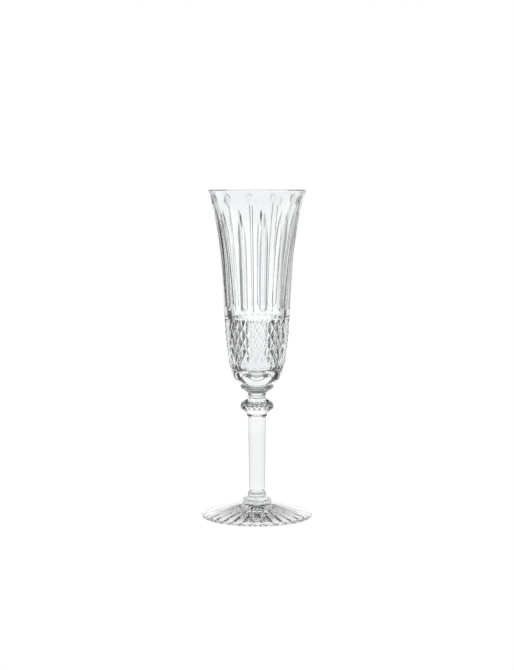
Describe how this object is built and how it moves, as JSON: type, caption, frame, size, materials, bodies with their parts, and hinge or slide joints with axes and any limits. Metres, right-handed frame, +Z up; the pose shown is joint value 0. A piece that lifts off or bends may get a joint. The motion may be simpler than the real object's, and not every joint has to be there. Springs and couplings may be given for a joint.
{
  "type": "champagne flute",
  "caption": "Tall cut-crystal champagne flute: flared bowl with pointed cuts and a diamond band, faceted knop, hexagonal stem and star-cut foot.",
  "frame": {"origin": "centre of the foot's underside, on the surface that the flute stands on", "axes": "+Z up along the stem's axis; -Y is the front, where a flat side of the hexagonal stem faces"},
  "size_m": [0.073, 0.073, 0.215],
  "materials": {
    "cut_crystal": "acid-polished cut crystal, clear",
    "stem_crystal": "fire-polished crystal, clear",
    "facet_crystal": "polished flat facets, clear",
    "foot_crystal": "fire-polished top with a polished star cut underneath, clear"
  },
  "bodies": {
    "root": {"bowl": "cut_crystal", "bowl_merese": "stem_crystal", "neck_ring": "stem_crystal", "knop": "facet_crystal", "knop_collar": "stem_crystal", "stem_shaft": "stem_crystal", "stem_foot_ring": "stem_crystal", "foot_collar": "stem_crystal", "foot": "foot_crystal"}
  },
  "joints": []
}
